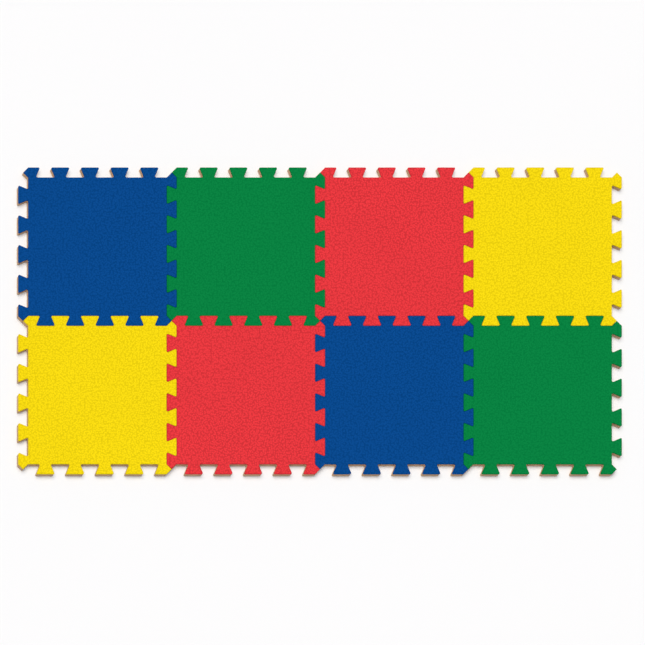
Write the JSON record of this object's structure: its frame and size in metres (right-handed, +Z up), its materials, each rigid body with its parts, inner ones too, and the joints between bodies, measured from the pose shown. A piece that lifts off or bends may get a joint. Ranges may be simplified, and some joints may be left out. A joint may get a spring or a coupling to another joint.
{
  "type": "interlocking foam blocking mats",
  "caption": "Flat oblong of square foam tiles in four bright colours over a tan base, locked edge to edge by dovetail teeth, for pinning out knitting to dry.",
  "frame": {"origin": "the middle of the mats' underside, on the surface they lie on, where four tiles meet", "axes": "+X along the long side to the right, +Y across to the back row, +Z up, out of the coloured faces"},
  "size_m": [1.2402, 0.6302, 0.01],
  "materials": {
    "foam_blue": "matte",
    "foam_green": "matte",
    "foam_red": "matte",
    "foam_yellow": "matte",
    "foam_tan": "matte"
  },
  "bodies": {
    "back_blue_tile": {"back_blue_base": "foam_tan", "back_blue_face": "foam_blue"},
    "back_green_tile": {"back_green_base": "foam_tan", "back_green_face": "foam_green"},
    "back_red_tile": {"back_red_base": "foam_tan", "back_red_face": "foam_red"},
    "back_yellow_tile": {"back_yellow_base": "foam_tan", "back_yellow_face": "foam_yellow"},
    "front_yellow_tile": {"front_yellow_base": "foam_tan", "front_yellow_face": "foam_yellow"},
    "front_red_tile": {"front_red_base": "foam_tan", "front_red_face": "foam_red"},
    "front_blue_tile": {"front_blue_base": "foam_tan", "front_blue_face": "foam_blue"},
    "front_green_tile": {"front_green_base": "foam_tan", "front_green_face": "foam_green"}
  },
  "joints": [
    {"name": "back_blue_lift", "type": "slide", "parent": "front_yellow_tile", "child": "back_blue_tile", "axis": [0, 0, 1], "range_m": [0, 0.04]},
    {"name": "back_green_lift", "type": "slide", "parent": "front_yellow_tile", "child": "back_green_tile", "axis": [0, 0, 1], "range_m": [0, 0.04]},
    {"name": "back_red_lift", "type": "slide", "parent": "front_yellow_tile", "child": "back_red_tile", "axis": [0, 0, 1], "range_m": [0, 0.04]},
    {"name": "back_yellow_lift", "type": "slide", "parent": "front_yellow_tile", "child": "back_yellow_tile", "axis": [0, 0, 1], "range_m": [0, 0.04]},
    {"name": "front_red_lift", "type": "slide", "parent": "front_yellow_tile", "child": "front_red_tile", "axis": [0, 0, 1], "range_m": [0, 0.04]},
    {"name": "front_blue_lift", "type": "slide", "parent": "front_yellow_tile", "child": "front_blue_tile", "axis": [0, 0, 1], "range_m": [0, 0.04]},
    {"name": "front_green_lift", "type": "slide", "parent": "front_yellow_tile", "child": "front_green_tile", "axis": [0, 0, 1], "range_m": [0, 0.04]}
  ]
}
